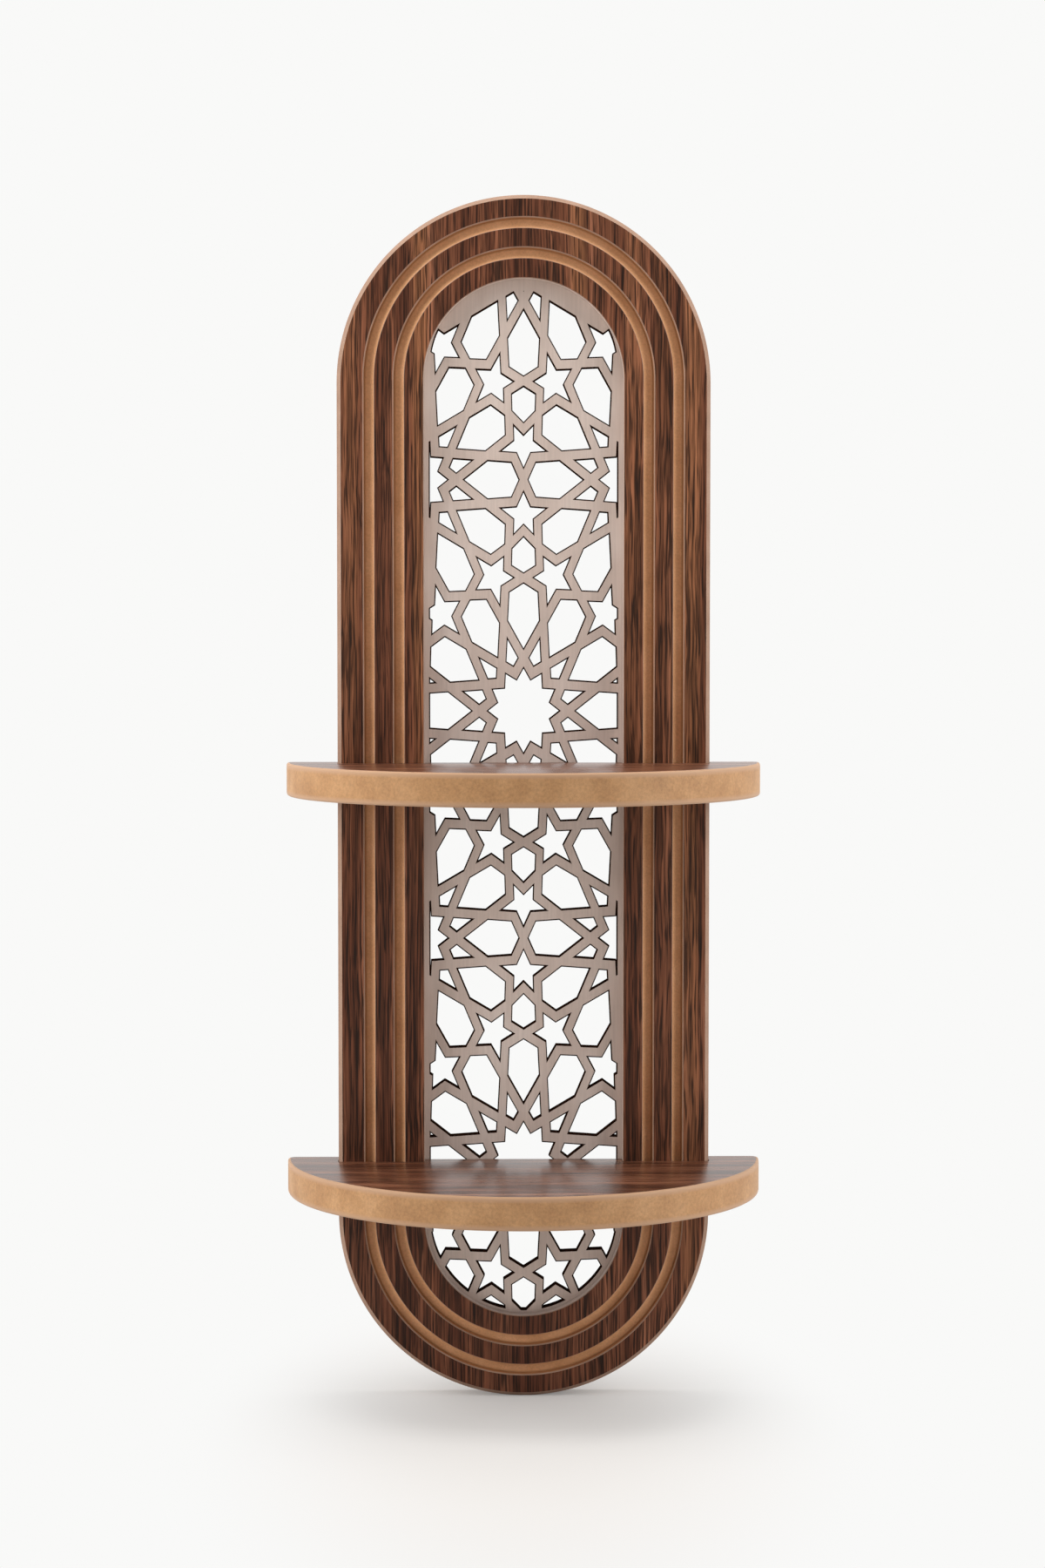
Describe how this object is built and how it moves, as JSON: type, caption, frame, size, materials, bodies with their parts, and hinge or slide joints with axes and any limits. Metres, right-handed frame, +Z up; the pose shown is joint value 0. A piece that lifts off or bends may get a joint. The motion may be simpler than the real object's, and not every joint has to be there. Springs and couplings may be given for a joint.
{
  "type": "wall shelf",
  "caption": "Tall wall shelf: round-ended grooved walnut frame, pierced geometric star lattice in its opening, half-round shelves notched over the uprights, keyhole hangers at the back.",
  "frame": {"origin": "on the frame's back face, on the centre line, level with the two keyhole hangers in the top arch", "axes": "+Z up along the frame, +Y into the wall, +X to the right of a person who faces the shelf"},
  "size_m": [0.277, 0.1385, 0.7],
  "materials": {
    "walnut_frame": "satin walnut decor, raw core in the grooves and on the edge",
    "walnut_shelf": "satin walnut decor on the faces, raw tan core on the rim",
    "taupe_lattice": "matt taupe paint, dark burnt cut edges",
    "beech": "plain turned wood",
    "zinc_steel": "bright zinc plating",
    "yellow_steel": "yellow passivated plating"
  },
  "bodies": {
    "root": {"frame_board": "walnut_frame", "lattice_panel": "taupe_lattice", "upper_shelf": "walnut_shelf", "lower_shelf": "walnut_shelf", "upper_shelf_screw_left": "yellow_steel", "upper_shelf_screw_right": "yellow_steel", "lower_shelf_screw_left": "yellow_steel", "lower_shelf_screw_right": "yellow_steel", "upper_shelf_dowel_left": "beech", "upper_shelf_dowel_right": "beech", "lower_shelf_dowel_left": "beech", "lower_shelf_dowel_right": "beech", "lattice_screw_1": "zinc_steel", "lattice_screw_2": "zinc_steel", "lattice_screw_3": "zinc_steel", "lattice_screw_4": "zinc_steel", "lattice_screw_5": "zinc_steel", "lattice_screw_6": "zinc_steel", "lattice_screw_7": "zinc_steel", "lattice_screw_8": "zinc_steel", "hanger_plate_left": "zinc_steel", "hanger_plate_right": "zinc_steel", "hanger_screw_left_inner": "zinc_steel", "hanger_screw_left_outer": "zinc_steel", "hanger_screw_right_inner": "zinc_steel", "hanger_screw_right_outer": "zinc_steel"}
  },
  "joints": []
}
